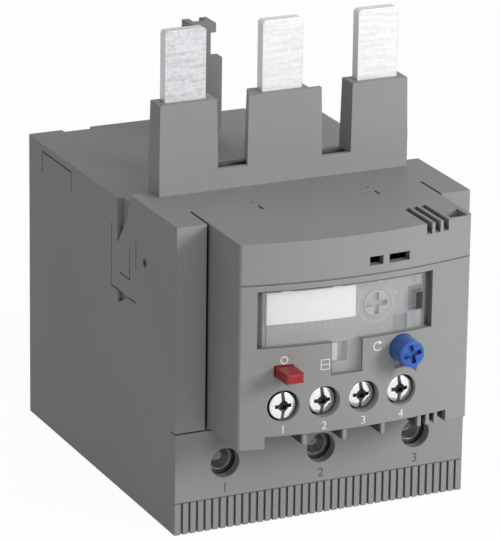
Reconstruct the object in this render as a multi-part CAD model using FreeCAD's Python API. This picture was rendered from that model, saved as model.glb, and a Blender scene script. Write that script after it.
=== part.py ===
import FreeCAD, Part
import math
import os

# Thermal overload relay for three poles: it plugs into a contactor by its three blades and
# trips when its heated bimetal strips bend. Sizes are in millimetres. +X is right, +Y is
# back and +Z is up. Pieces are laid out from the plane of the terminal cover's front, and
# save() moves them so that the origin is the middle of the housing's underside.

# ---- Sizes -------------------------------------------------------------------------------

# Housing, in two mouldings that meet behind the front one
housing_width = 70.0
housing_depth = 84.0
front_height = 70.3
rear_step = 2.9
parting_height = 23.6
front_depth = 25.0
wall = 2.0
edge_radius = 0.8
half_width = housing_width / 2
rear_height = front_height - rear_step

# Poles
pole_margin = 11.9
pole_pitch = half_width - pole_margin
poles = (-pole_pitch, 0.0, pole_pitch)

# Clearances
running_gap = 0.3
turning_gap = 0.05
seam = 0.35

# Curved control unit on the front housing
unit_half_width = half_width - 7.6
unit_reach = 15.4
unit_bulge = 3.4
unit_floor = parting_height + 0.5
slit_width = 0.6
slit_depth = 9.6
unit_radius = (unit_half_width ** 2 + unit_bulge ** 2) / (2 * unit_bulge)
unit_centre = unit_radius - unit_reach - unit_bulge

# Terminal cover with its ribbed strip
cover_plate = 2.4
strip_height = 7.2
strip_line = 0.25
rib_pitch = 1.8
rib_groove = 0.55
rib_depth = 0.6
driver_bore = 3.4

# Load busbars and box terminals
bar_half = 6.0
bar_thickness = 2.0
bar_level = parting_height - 2.4
tongue_front = 12.1
tongue_foot = bar_level - 11.0
cage_half = 7.5
cage_wall = 1.8
cage_nut = 2.5
cage_bottom = bar_level - 11.6
wire_room = 9.0
clamp_travel = 5.0
clamp_screw_radius = 3.85
clamp_screw_pitch = 1.25
clamp_screw_face = cover_plate + 2 * running_gap
screw_height = bar_level - 5.95
hex_across = 4.0
hex_depth = 4.2
cage_top = bar_level - running_gap
tongue_back = tongue_front + bar_thickness
cage_front = tongue_front - cage_nut - 2 * running_gap
cage_room_back = tongue_back + wire_room
cage_back = cage_room_back + cage_wall
chamber_half = cage_half + 1.1
chamber_back = cage_back + 2 * running_gap
entry_half = 6.5
entry_front = tongue_back - 0.4

# Rear pole chambers
room_half = (pole_pitch - 3.5) / 2
room_front = chamber_back + wall

# Line blades
blade_half = 4.85
blade_thickness = 2.5
blade_front = front_depth - 2.2
blade_rise = 36.4
blade_top = front_height + blade_rise
blade_bar_level = rear_height - wall - blade_thickness
blade_corner = 0.8
blade_back = blade_front + blade_thickness

# Blade shroud
shroud_half = pole_pitch + 6.9
shroud_front = blade_front - 2.0
shroud_depth = 5.8
bar_top = front_height + 4.8
tower_top = front_height + 20.5
tower_crease = front_height + 8.7
tower_draft = 0.25
side_tower_inner = pole_pitch - 7.05
middle_tower_half = 9.05
slot_gap = 0.12
guard_plate = 1.2
trough_width = 2.0
trough_rise = 0.8
middle_left_taper = 1.95
middle_right_step = 2.6

# Latch hook behind the blades
hook_front = housing_depth - 18.5
hook_thickness = 3.0
hook_x = 0.68
hook_half = 4.5
hook_foot = 2.5
hook_shoulder = front_height + 16.0
hook_neck_half = 1.6
hook_head_half = 2.9
hook_head_bottom = hook_shoulder + 6.0
hook_head_top = hook_head_bottom + 2.2
horn_width = 1.5
horn_reach = 3.2
horn_radius = 0.6

# Trip slides and bimetal strips
slide_front = front_depth + 3.5
slide_thickness = 1.5
slide_height = 2.5
strip_thickness = 1.0
strip_front = slide_front + 9.5
strip_width = 8.0
strip_top = blade_bar_level - 1.1
strip_foot = bar_level + bar_thickness + 0.1
strip_back = strip_front + strip_width
bar_back = strip_back + 4.0
main_slide_level = strip_top - 3.3
differential_level = main_slide_level - slide_height - 1.0
finger_width = 1.2
finger_reach = 1.8
trip_travel = 1.5

# Sleeves and heaters round the strips
sleeve_wall_x = 1.0
sleeve_wall_y = 0.8
sleeve_bottom = strip_foot + 2.7
sleeve_top = differential_level - 1.0
heater_strip = 1.2
heater_height = 1.8
heater_turns = 7
heater_lead = 1.5

# Auxiliary terminals
aux_pitch = 9.2
aux_count = 4
aux_first = -17.66
aux_height = 33.6
aux_bore = 3.55
aux_head_radius = 3.1
aux_head_face = -unit_reach - 2.3
aux_head_height = 3.7
aux_shank_radius = 1.75
aux_screw_pitch = 0.6
aux_travel = 2.4
aux_washer_half = 3.4
aux_washer_thickness = 1.0
aux_plate_thickness = 1.2
aux_edge_half = 21.65
aux_edge_height = unit_floor + 2.7
aux_roof = aux_height - 3.7
divider = 0.9
divider_shift = 0.05
tail_half = 1.5
tail_level = aux_height + 3.8
tail_thickness = 1.0
rivet_radius = 0.9
contact_height = tail_level + tail_thickness + rivet_radius + 0.5
rivet_thickness = 0.5
flange_thickness = 1.0
nc_face = -4.0
aux_washer_front = aux_head_face + aux_head_height + turning_gap
aux_plate_front = aux_washer_front + aux_washer_thickness + aux_travel + 0.1
aux_x = [aux_first + aux_pitch * i for i in range(aux_count)]

# Contact carrier and bridges
bridge_thickness = 0.6
bridge_overhang = 1.2
bridge_half = 1.1
carrier_travel = 1.6
carrier_level = contact_height + 3.2
carrier_height = 2.0
carrier_half = 0.8
carrier_bar = 0.9
carrier_lip = 0.85
carrier_tail_half = 2.2
bridge_front = nc_face + rivet_thickness + turning_gap + rivet_thickness
bridge_back = bridge_front + bridge_thickness
no_face = bridge_back + rivet_thickness + carrier_travel + turning_gap
bridge_lift = 1.5

# Stop button
stop_x = -17.64
stop_z = aux_height + 8.04
stop_half_width = 2.0
stop_half_height = 1.1
stop_reach = 5.8
stop_travel = 2.5
stop_flange_half = 3.0
stop_flange_thickness = 1.0
stop_prong = 1.3
button_gap = 0.15

# Reset button
reset_x = 9.76
reset_z = aux_height + 9.84
reset_radius = 2.95
reset_reach = 5.1
reset_travel = 2.2
reset_rest_turn = 13.0
reset_pointer = 1.0
reset_flange = 3.55
reset_flange_thickness = 1.2
reset_boss_depth = 4.5
plunger_radius = 1.5
key_half = 1.7
key_drop = 4.6

# Trip crank
crank_x = 7.7
crank_y = 11.0
crank_pin_radius = 1.0
crank_hub_radius = 2.2
crank_arm = 11.2
crank_arm_level = carrier_level + 3.2
crank_arm_height = 2.0
crank_arm_half = 0.8
crank_nose_radius = 0.8
crank_socket = 4.0
ear_thickness = 1.6
ear_radius = 2.6
upper_ear = main_slide_level + slide_height
lower_ear = reset_z - plunger_radius - ear_thickness - running_gap
compensation_thickness = 0.8
compensation_tip = slide_front - 6.2

# Mechanism plate and button guide
plate_front = 2.0
plate_thickness = 2.2
guide_front = -6.9
guide_thickness = 1.2
guide_rise = 4.2

# Springs behind the buttons
spring_wire = 0.25
stop_spring_radius = 2.65
reset_spring_radius = 2.3
spring_turns = 5

# Test slider
test_x0 = -6.9
test_x1 = test_x0 + 4.6
test_z0 = aux_height + 7.9
test_z1 = test_z0 + 4.5
test_knob = 2.2
test_skirt = 2.6
test_plate = 1.2
test_travel = 2.0

# Recess that the clear cover closes
recess_x0 = -unit_half_width + 3.8
recess_x1 = unit_half_width - 10.2
recess_z0 = aux_height + 13.2
recess_z1 = recess_z0 + 12.8
recess_depth = 2.4
recess_floor = 2.0
tab_x0 = test_x0 - 0.2
tab_x1 = tab_x0 + 7.25
tab_z0 = aux_height + 5.85
band_height = recess_z1 + 1.6
band_groove = 0.3
band_slot = 2.0
band_slot_rise = 1.8

# Current dial and its setting slide
dial_x = recess_x1 - 12.85
dial_z = recess_z0 + 6.7
dial_radius = 3.1
dial_flange = 3.9
dial_rim = 0.8
dial_proud = 0.3
dial_range = 270.0
cam_small = 3.0
cam_rise = 1.2
cam_thickness = 1.4
follower_half = 1.6
follower_length = 8.0
slot_arm = 2.5
slot_width = 1.1
slot_sink = 0.9

# Hinged clear cover
lid_thickness = 1.2
lid_sink = 0.1
lid_gap = 0.15
lid_left = recess_x0 + 1.2
lid_right = recess_x1 - 1.9
lid_hinge_x = recess_x0 + 1.7
lid_hinge_y = -unit_reach - 0.2
lid_barrel = 0.9
lid_pin = 0.5
lid_pin_length = 0.8
lid_trim = 2.0
catch_x1 = lid_right - 0.1
catch_x0 = catch_x1 - 2.5
catch_z0 = recess_z0 + 4.2
catch_z1 = catch_z0 + 4.6

# Marking label
label_x0 = recess_x0 + 2.7
label_x1 = dial_x - 5.05
label_z0 = recess_z0 + 4.6
label_z1 = recess_z1 - 1.1
label_thickness = 0.4
label_tab_inset = 3.4
label_tab_width = 2.0
label_tab_rise = 0.4

# Vents and pockets
vent_first = unit_half_width - 12.0
vent_pitch = 2.16
vent_width = 1.35
vent_drop = 2.6
vent_reach = 12.6
vent_end = 0.9
pocket_width = 4.1
pocket_depth = 4.8
pocket_sink = 4.0
pocket_inset = 1.2
flex_x = (-15.6, 12.3)
flex_width = 3.4
flex_y = 7.1
flex_hook = 2.1
flex_groove = 0.6
flex_line = 3.1

# Side snap tongues
tongue_y0 = front_depth - 3.5
tongue_y1 = front_depth + 10.4
tongue_z1 = rear_height - 6.5
tongue_z0 = tongue_z1 - 14.2
tongue_window = 5.4
window_rise = 4.3
window_drop = 3.2
snap_y0 = front_depth + 0.9
snap_length = 5.8
snap_drop = 3.1
side_hole_radius = 1.0
side_hole_y = front_depth - 8.0
side_hole_z = tongue_z1 - 3.7
notch_width = 7.2
notch_drop = 3.7
notch_start = 1.0
notch_bend = 4.1
snap_thickness = 1.0
groove = 0.35
groove_depth = 0.6
slit_y0 = housing_depth - 25.8
slit_y1 = housing_depth - 8.5
slit_drop = 5.0

# ---- Shapes ------------------------------------------------------------------------------

V = FreeCAD.Vector


def box(x0, x1, y0, y1, z0, z1):
    return Part.makeBox(x1 - x0, y1 - y0, z1 - z0, V(x0, y0, z0))


def rod_x(y, z, x0, x1, radius):
    return Part.makeCylinder(radius, x1 - x0, V(x0, y, z), V(1, 0, 0))


def rod_y(x, z, y0, y1, radius):
    return Part.makeCylinder(radius, y1 - y0, V(x, y0, z), V(0, 1, 0))


def rod_z(x, y, z0, z1, radius):
    return Part.makeCylinder(radius, z1 - z0, V(x, y, z0), V(0, 0, 1))


def join(first, *rest):
    return first.fuse(list(rest)).removeSplitter()


def prism(points, push):
    wire = Part.makePolygon(points + points[:1])
    return Part.Face(wire).extrude(push)


def skin_y(x, inset=0.0):
    """Y of the control unit's curved front, or of the surface that lies inset behind it."""
    return unit_centre - math.sqrt((unit_radius - inset) ** 2 - x * x)


def arc(x0, x1, inset, z):
    middle = (x0 + x1) / 2
    ends = [V(x, skin_y(x, inset), z) for x in (x0, middle, x1)]
    return Part.Arc(*ends).toShape()


def curved_block(x0, x1, z0, z1, inset, back):
    """A block whose front follows the unit's curve and whose back is flat."""
    edges = [
        arc(x0, x1, inset, z0),
        Part.makeLine(V(x1, skin_y(x1, inset), z0), V(x1, back, z0)),
        Part.makeLine(V(x1, back, z0), V(x0, back, z0)),
        Part.makeLine(V(x0, back, z0), V(x0, skin_y(x0, inset), z0)),
    ]
    return Part.Face(Part.Wire(edges)).extrude(V(0, 0, z1 - z0))


def curved_slab(x0, x1, z0, z1, inset, depth):
    """A plate between two insets of the unit's curve."""
    deep = inset + depth
    edges = [
        arc(x0, x1, inset, z0),
        Part.makeLine(V(x1, skin_y(x1, inset), z0), V(x1, skin_y(x1, deep), z0)),
        arc(x0, x1, deep, z0),
        Part.makeLine(V(x0, skin_y(x0, deep), z0), V(x0, skin_y(x0, inset), z0)),
    ]
    wire = Part.Wire(Part.__sortEdges__(edges))
    return Part.Face(wire).extrude(V(0, 0, z1 - z0))


def hexagon(x, z, across, y0, y1):
    reach = across / math.sqrt(3)
    turns = [math.radians(60 * i) for i in range(6)]
    corners = [V(x + reach * math.sin(t), y0, z + reach * math.cos(t)) for t in turns]
    return prism(corners, V(0, y1 - y0, 0))


def mirrored(shape):
    return shape.mirror(V(0, 0, 0), V(1, 0, 0))


def coil_y(x, z, y0, y1, radius, wire, turns):
    """A compression spring along Y, lofted through sections of its wire."""
    length = y1 - y0 - 2 * wire
    steps = 12 * turns
    sections = []
    for i in range(steps + 1):
        turn = 2 * math.pi * turns * i / steps
        centre = y0 + wire + length * i / steps
        corners = []
        for j in range(6):
            around = math.pi * j / 3
            reach = radius + wire * math.cos(around)
            corners.append(V(x + reach * math.cos(turn), centre + wire * math.sin(around),
                             z + reach * math.sin(turn)))
        sections.append(Part.makePolygon(corners + corners[:1]))
    return Part.makeLoft(sections, True, True)


# ---- Housing -----------------------------------------------------------------------------

def side_notch():
    """The wedge-shaped gap at the top of the left side, behind the front moulding."""
    top = front_height + 1
    points = [
        V(-half_width - 1, front_depth + notch_start, top),
        V(-half_width - 1, front_depth + notch_width, top),
        V(-half_width - 1, front_depth + notch_width - running_gap, tongue_z1 - notch_drop),
        V(-half_width - 1, front_depth + notch_start, tongue_z1 + notch_bend),
    ]
    return prism(points, V(1 + wall - groove_depth, 0, 0))


def base_housing():
    """Lower and rear moulding: terminal ledge in front, tall pole chambers behind."""
    tall = box(-half_width, half_width, front_depth, housing_depth, 0, rear_height)
    rear_edges = [e for e in tall.Edges
                  if e.BoundBox.YMin > housing_depth - 0.01 and e.BoundBox.ZLength > wall]
    tall = tall.makeFillet(edge_radius, rear_edges)
    ledge = box(-half_width, half_width, cover_plate, front_depth, 0, parting_height)
    body = join(tall, ledge)
    cuts = []
    for x in poles:
        cuts.append(box(x - chamber_half, x + chamber_half, cover_plate - 1, chamber_back,
                        wall, parting_height + 1))
        entry = box(x - entry_half, x + entry_half, entry_front, cage_room_back,
                    -1, wall + 1)
        cuts.append(entry.makeFillet(edge_radius, [e for e in entry.Edges
                                                   if e.BoundBox.ZLength > wall]))
        cuts.append(box(x - room_half, x + room_half, room_front, housing_depth - wall,
                        wall, rear_height - wall))
        cuts.append(box(x - room_half, x + room_half, front_depth - 1, room_front,
                        parting_height, rear_height - wall))
        cuts.append(box(x - bar_half - 0.1, x + bar_half + 0.1, chamber_back - 1,
                        room_front + 1, bar_level, parting_height + 1))
        cuts.append(box(x - blade_half - slot_gap, x + blade_half + slot_gap,
                        front_depth - 1, blade_back + slot_gap,
                        rear_height - wall - 1, rear_height + 1))
        cuts.append(box(x - 3.5, x + 3.5, housing_depth - 1.5, housing_depth + 1,
                        rear_height - 0.8, rear_height + 1))
    slide_top = main_slide_level + slide_height + running_gap
    slide_reach = room_half + pole_pitch
    cuts.append(box(-slide_reach, slide_reach, front_depth - 1,
                    slide_front + slide_thickness + running_gap,
                    differential_level - running_gap, slide_top))
    plug_front = hook_front + 0.5
    plug_back = hook_front + hook_thickness - 0.5
    cuts.append(box(hook_x - hook_half + 0.9, hook_x + hook_half - 0.9, plug_front - 0.1,
                    plug_back + 0.1, rear_height - wall - 1, rear_height + 1))
    for side in (1, -1):
        pocket = box(-half_width - 1, -half_width + snap_thickness, front_depth - 1,
                     tongue_y1, tongue_z0 - groove, tongue_z1)
        snap_end = snap_y0 + snap_length
        snap = prism([V(-half_width - 1, snap_y0, tongue_z0 - groove),
                      V(-half_width - 1, snap_end, tongue_z0 - groove),
                      V(-half_width - 1, snap_end - 0.2, tongue_z0 - snap_drop)],
                     V(1 + snap_thickness, 0, 0))
        lid_slit = rear_height - 1.5
        slits = [
            box(-half_width - 1, -half_width + groove_depth, slit_y0, slit_y1,
                lid_slit - groove, lid_slit),
            box(-half_width - 1, -half_width + groove_depth, slit_y0, slit_y0 + groove,
                lid_slit - slit_drop, lid_slit),
            box(-half_width - 1, -half_width + groove_depth, slit_y1 - groove, slit_y1,
                lid_slit - slit_drop, lid_slit),
        ]
        for piece in [pocket, snap, side_notch()] + slits:
            cuts.append(piece if side > 0 else mirrored(piece))
    body = body.cut(cuts)
    ribs = [box(x - room_half, x + room_half, strip_front + 2, strip_front + 4,
                wall, bar_level) for x in poles]
    return join(body, *ribs)


def snap_tongue():
    """A flat tongue that reaches back from the front housing over the base's side."""
    blade = box(-half_width, -half_width + snap_thickness - 0.1, front_depth - 0.5,
                tongue_y1 - groove, tongue_z0, tongue_z1)
    window = [
        box(-half_width - 1, -half_width + 0.5, front_depth, front_depth + groove,
            tongue_z0 + window_rise, tongue_z1 - window_drop),
        box(-half_width - 1, -half_width + 0.5, front_depth, front_depth + tongue_window,
            tongue_z0 + window_rise - 0.3, tongue_z0 + window_rise),
    ]
    return blade.cut(window + [side_notch()])


def front_housing():
    """Upper front moulding: a flange across the full width and the curved control unit."""
    unit = curved_block(-unit_half_width, unit_half_width, unit_floor, front_height, 0, 1)
    corners = [e for e in unit.Edges
               if e.BoundBox.ZLength > wall and e.BoundBox.YMax < 0]
    unit = unit.makeFillet(edge_radius, corners)
    flange = box(-half_width, half_width, 0, front_depth, parting_height, front_height)
    shell = join(flange, unit)
    ceiling = front_height - wall
    inner_half = unit_half_width - wall
    side_inner = unit_half_width + slit_width + wall
    hollow = [
        curved_block(-inner_half, inner_half, unit_floor + wall, ceiling, wall,
                     front_depth + 1),
        box(-half_width + wall, half_width - wall, slit_depth + wall, front_depth + 1,
            unit_floor + wall, ceiling),
        box(-half_width + wall, -side_inner, wall, front_depth + 1, unit_floor + wall,
            ceiling),
        box(side_inner, half_width - wall, wall, front_depth + 1, unit_floor + wall,
            ceiling),
    ]
    shell = shell.cut(hollow)

    # Material that stands behind the skin: recess floors, screw block, bosses, ledges
    frame = recess_depth + recess_floor
    backing = [
        curved_slab(recess_x0 - 1.6, recess_x1 + wall, recess_z0 - 1.6, recess_z1 + wall,
                    0.5, frame - 0.5),
        curved_slab(tab_x0 - 1.5, tab_x1 + 1.5, tab_z0 - 1.5, recess_z0, 0.5, frame - 0.5),
        curved_block(-aux_edge_half - 0.6, aux_x[-1] + aux_pitch / 2, aux_roof,
                     aux_height + aux_bore + 0.4, 0.5, aux_washer_front - 0.65),
        rod_y(reset_x, reset_z, skin_y(reset_x, 0.5), skin_y(reset_x, reset_boss_depth),
              reset_radius + 1.3),
        box(-half_width + wall, half_width - wall, blade_front + 0.2, front_depth,
            rear_height - wall, ceiling + 0.1),
    ]
    for side in (-1, 1):
        rail = dial_z + side * (follower_half + running_gap / 3 + 0.5)
        rail_end = follower_tip() - 1.6
        backing.append(curved_block(rail_end - follower_length, rail_end, rail - 0.5,
                                    rail + 0.5, frame - 0.5, cam_front() + cam_thickness))
        x_wall = side * inner_half
        backing.append(box(min(x_wall, x_wall - side * 1.4), max(x_wall, x_wall - side * 1.4),
                           0.4, plate_front, unit_floor + wall, ceiling))
    shell = join(shell, *backing)

    # Open underside of the unit, then the thin walls between the wire entries
    shell = shell.cut(box(-aux_edge_half, aux_edge_half, -unit_reach - unit_bulge - 1, 0,
                          unit_floor - 1, aux_edge_height))
    walls = []
    first_wall = aux_first - aux_pitch / 2 + divider_shift
    for i in range(aux_count + 1):
        x = first_wall + aux_pitch * i
        walls.append(curved_block(x, x + divider, unit_floor, tail_level - running_gap,
                                  0.6, 0.5))
    last_wall = first_wall + aux_pitch * aux_count
    for i in (1, 2):
        x = last_wall + i * vent_pitch
        walls.append(curved_block(x, x + divider, unit_floor, aux_roof, 0.6, 0.5))
    shell = join(shell, *walls)

    # Cuts from outside
    pocket_right = unit_half_width - pocket_inset
    cuts = [
        curved_slab(recess_x0, recess_x1, recess_z0, recess_z1, -1, 1 + recess_depth),
        curved_slab(tab_x0, tab_x1, tab_z0, recess_z0 + 1, -1, 1 + recess_depth),
        box(test_x0, test_x1, -unit_reach - unit_bulge - 1, -unit_reach + frame, test_z0,
            test_z1),
        rod_y(dial_x, dial_z, -unit_reach - unit_bulge - 1, -unit_reach + frame,
              dial_radius + turning_gap),
        rod_y(reset_x, reset_z, -unit_reach - unit_bulge - 1, -unit_reach + frame,
              reset_radius + 2 * turning_gap),
        box(reset_x - key_half, reset_x + key_half, -unit_reach - unit_bulge - 1,
            skin_y(reset_x, wall) - 0.2, reset_z - key_drop, reset_z),
        box(stop_x - stop_half_width - button_gap, stop_x + stop_half_width + button_gap,
            -unit_reach - unit_bulge - 1, -unit_reach + frame,
            stop_z - stop_half_height - button_gap, stop_z + stop_half_height + button_gap),
        curved_slab(catch_x0 - 0.4, catch_x1 + 0.4, catch_z0 - 0.4, catch_z1 + 0.4,
                    recess_depth - 0.5, 0.5 + lid_thickness + 0.3),
        curved_slab(dial_x + 4.25, dial_x + 7.85, recess_z0, recess_z0 + 3.3,
                    recess_depth - 0.5, 1.2),
        rod_z(lid_hinge_x, lid_hinge_y, recess_z0 - lid_pin_length - 0.2,
              recess_z1 + lid_pin_length + 0.2, lid_pin + turning_gap),
        box(1.45, 4.65, -unit_reach - unit_bulge - 1, -unit_reach,
            band_height + band_slot_rise, band_height + band_slot_rise + band_slot),
        box(6.15, 11.15, -unit_reach - unit_bulge - 1, -unit_reach,
            band_height + band_slot_rise, band_height + band_slot_rise + band_slot),
        curved_slab(-unit_half_width, unit_half_width, band_height - band_groove,
                    band_height, -1, 1 + band_groove),
        box(pocket_right - pocket_width, pocket_right, lid_hinge_y, lid_hinge_y + pocket_depth,
            front_height - pocket_sink, front_height + 1),
    ]
    for x in aux_x:
        cuts.append(rod_y(x, aux_height, -unit_reach - unit_bulge - 1, -unit_reach + 2,
                          aux_bore))
    for i in range(3):
        x = vent_first + i * vent_pitch
        nose = skin_y(x) - 1
        cuts.append(prism([V(x, nose, front_height - vent_drop),
                           V(x, nose + vent_reach, front_height - vent_end),
                           V(x, nose + vent_reach, front_height + 0.1),
                           V(x, nose, front_height + 0.1)], V(vent_width, 0, 0)))
    for x in flex_x:
        flex_end = x + flex_width
        cuts.append(box(x, flex_end, flex_y, flex_y + flex_groove, ceiling - 1,
                        front_height + 1))
        cuts.append(box(flex_end - flex_groove, flex_end, flex_y - flex_hook, flex_y + 0.2,
                        ceiling - 1, front_height + 1))
        cuts.append(box(x, flex_end - 0.6, flex_y + flex_line, flex_y + flex_line + groove,
                        front_height - groove_depth, front_height + 1))
        cuts.append(rod_z(flex_end - 0.6, flex_y + flex_line + groove / 2, ceiling - 1,
                          front_height + 1, 0.4))
    for x in poles:
        cuts.append(box(x - blade_half - slot_gap, x + blade_half + slot_gap,
                        blade_front - slot_gap, front_depth + 1, rear_height - wall - 1,
                        front_height + 1))
    for side in (1, -1):
        slit = box(-unit_half_width - slit_width, -unit_half_width, -1, slit_depth,
                   parting_height - 1, front_height + 1)
        flex = [
            box(-half_width - 1, -half_width + groove_depth, tongue_y0,
                tongue_y0 + groove, tongue_z1 - 6.7, tongue_z1),
            box(-half_width - 1, -half_width + groove_depth, tongue_y0, front_depth + 1,
                tongue_z0 - groove, tongue_z0),
            rod_x(side_hole_y, side_hole_z, -half_width - 1, -half_width + wall + 1,
                  side_hole_radius),
        ]
        for piece in [slit] + flex:
            cuts.append(piece if side > 0 else mirrored(piece))
    shell = shell.cut(cuts)
    return join(shell, snap_tongue(), mirrored(snap_tongue()))


def terminal_cover():
    """Front plate of the terminal ledge, with screwdriver holes and a ribbed strip."""
    plate = box(-half_width, half_width, 0, cover_plate, 0, parting_height - seam)
    cuts = [rod_y(x, screw_height, -1, cover_plate + 1, driver_bore) for x in poles]
    count = int(housing_width / rib_pitch)
    first = -rib_pitch * (count - 1) / 2
    for i in range(count):
        x = first + rib_pitch * i
        cuts.append(box(x - rib_groove / 2, x + rib_groove / 2, -1, rib_depth, -1,
                        strip_height))
    cuts.append(box(-half_width - 1, half_width + 1, -1, strip_line, strip_height,
                    strip_height + strip_line))
    return plate.cut(cuts)


def tower(plan):
    """One blade's insulating tower: straight at the foot, then slightly drafted."""
    centre_x = (max(x for x, y in plan) + min(x for x, y in plan)) / 2
    centre_y = shroud_front + shroud_depth / 2

    def outline(z, shrink):
        points = [V(x - math.copysign(shrink, x - centre_x),
                    y - math.copysign(shrink, y - centre_y), z) for x, y in plan]
        return Part.makePolygon(points + points[:1])

    foot = Part.Face(outline(front_height, 0)).extrude(V(0, 0, tower_crease - front_height))
    drafted = Part.makeLoft([outline(tower_crease, 0.05), outline(tower_top, tower_draft)],
                            True)
    return join(foot, drafted)


def side_tower(x0, x1):
    y0, y1 = shroud_front, shroud_front + shroud_depth
    return tower([(x0, y0), (x1, y0), (x1, y1), (x0, y1)])


def middle_tower():
    """The middle tower, with one slanting side and one that steps in behind its front."""
    y0, y1 = shroud_front, shroud_front + shroud_depth
    left, right = -middle_tower_half, middle_tower_half
    return tower([(left, y0), (right, y0), (right, y0 + guard_plate),
                  (right - middle_right_step, y0 + guard_plate),
                  (right - middle_right_step, y1), (left + middle_left_taper, y1)])


def blade_shroud():
    """Moulded guard round the feet of the three blades."""
    back = shroud_front + shroud_depth
    rail = box(-shroud_half, shroud_half, shroud_front, back, front_height, bar_top)
    trough_front = shroud_front + guard_plate
    trough = box(-side_tower_inner, side_tower_inner, trough_front,
                 trough_front + trough_width, front_height + trough_rise, bar_top + 1)
    skirt = box(-shroud_half, shroud_half, front_depth, back, rear_height, front_height)
    body = join(rail.cut(trough), skirt, side_tower(-shroud_half, -side_tower_inner),
                middle_tower(), side_tower(side_tower_inner, shroud_half))
    slots = [box(x - blade_half - slot_gap, x + blade_half + slot_gap,
                 blade_front - slot_gap, blade_back + slot_gap, rear_height - 1,
                 tower_top + 1) for x in poles]
    return body.cut(slots)


def latch_hook():
    """T-shaped hook that holds the relay to the contactor's back."""
    back = hook_front + hook_thickness
    foot = rear_height + hook_foot
    outline = [V(-hook_half + 0.9, hook_front, rear_height),
               V(hook_half - 0.9, hook_front, rear_height),
               V(hook_half, hook_front, foot), V(hook_half, hook_front, hook_shoulder),
               V(hook_neck_half, hook_front, hook_shoulder),
               V(hook_neck_half, hook_front, hook_head_bottom),
               V(hook_head_half, hook_front, hook_head_bottom),
               V(hook_head_half, hook_front, hook_head_top),
               V(-hook_head_half, hook_front, hook_head_top),
               V(-hook_head_half, hook_front, hook_head_bottom),
               V(-hook_neck_half, hook_front, hook_head_bottom),
               V(-hook_neck_half, hook_front, hook_shoulder),
               V(-hook_half, hook_front, hook_shoulder), V(-hook_half, hook_front, foot)]
    post = prism(outline, V(0, hook_thickness, 0))
    horns = []
    for x in (-hook_head_half, hook_head_half - horn_width):
        horn = box(x, x + horn_width, back - 0.5, back + horn_reach, hook_head_bottom,
                   hook_head_top)
        horns.append(horn.makeFillet(horn_radius, [e for e in horn.Edges
                                                   if e.BoundBox.YMin > back + horn_reach - 0.1
                                                   and e.BoundBox.ZMin > hook_head_top - 0.1]))
    plug = box(-hook_half + 1, hook_half - 1, hook_front + 0.5, back - 0.5,
               rear_height - wall, rear_height + 0.5)
    body = join(post, plug, *horns)
    body.translate(V(hook_x, 0, 0))
    return body


# ---- Current path ------------------------------------------------------------------------

def line_blade(x):
    """Blade that goes into the contactor, bent back over its heater."""
    blade = box(x - blade_half, x + blade_half, blade_front, blade_back, blade_bar_level,
                blade_top)
    top_corners = [e for e in blade.Edges
                   if e.BoundBox.ZMin > blade_top - 0.01 and e.BoundBox.YLength > 1]
    blade = blade.makeFillet(blade_corner, top_corners)
    foot = box(x - blade_half, x + blade_half, blade_front, bar_back, blade_bar_level,
               blade_bar_level + blade_thickness)
    return join(blade, foot)


def load_busbar(x):
    """Bar from the heater's foot to the box terminal, where it hangs down as a tongue."""
    bar = box(x - bar_half, x + bar_half, tongue_front, bar_back, bar_level,
              bar_level + bar_thickness)
    tongue = box(x - bar_half + 0.5, x + bar_half - 0.5, tongue_front, tongue_back,
                 tongue_foot, bar_level + bar_thickness)
    return join(bar, tongue)


def bimetal_strip(x):
    return box(x - strip_thickness / 2, x + strip_thickness / 2, strip_front, strip_back,
               strip_foot, strip_top)


def sleeve_halves():
    half_x = strip_thickness / 2 + sleeve_wall_x
    return half_x, strip_front - sleeve_wall_y, strip_back + sleeve_wall_y


def insulating_sleeve(x):
    """Insulation between a bimetal strip and its heater."""
    half_x, y0, y1 = sleeve_halves()
    outer = box(x - half_x, x + half_x, y0, y1, sleeve_bottom, sleeve_top)
    return outer.cut(bimetal_strip(x))


def heater_winding(x):
    """Flat heater strip wound round the sleeve, with its two leads."""
    half_x, y0, y1 = sleeve_halves()
    pitch = (sleeve_top - sleeve_bottom - heater_height) / (heater_turns - 1)
    core = box(x - half_x, x + half_x, y0, y1, 0, front_height)
    pieces = []
    for i in range(heater_turns):
        z = sleeve_bottom + pitch * i
        pieces.append(box(x - half_x - heater_strip, x + half_x + heater_strip,
                          y0 - heater_strip, y1 + heater_strip, z, z + heater_height))
        if i < heater_turns - 1:
            side = -1 if i % 2 else 1
            edge = side * (half_x + heater_strip)
            pieces.append(box(x + min(edge, edge - side * heater_strip),
                              x + max(edge, edge - side * heater_strip), strip_front,
                              strip_front + 2.5, z, z + pitch + heater_height))
    pieces.append(box(x - heater_lead, x + heater_lead, y0 - heater_strip, y0,
                      strip_foot + running_gap, sleeve_bottom + heater_height))
    pieces.append(box(x - heater_lead, x + heater_lead, y1, y1 + heater_strip,
                      sleeve_top - heater_height, blade_bar_level - running_gap))
    return join(pieces[0], *pieces[1:]).cut(core)


def clamp_cage(x):
    """Box of the cable terminal, pulled forward by its screw."""
    outer = box(x - cage_half, x + cage_half, cage_front, cage_back, cage_bottom, cage_top)
    room = box(x - cage_half + cage_wall, x + cage_half - cage_wall,
               cage_front + cage_nut, cage_room_back, cage_bottom - 1, cage_top + 1)
    thread = rod_y(x, screw_height, cage_front - 1, cage_front + cage_nut + 1,
                   clamp_screw_radius + turning_gap)
    return outer.cut([room, thread])


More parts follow.
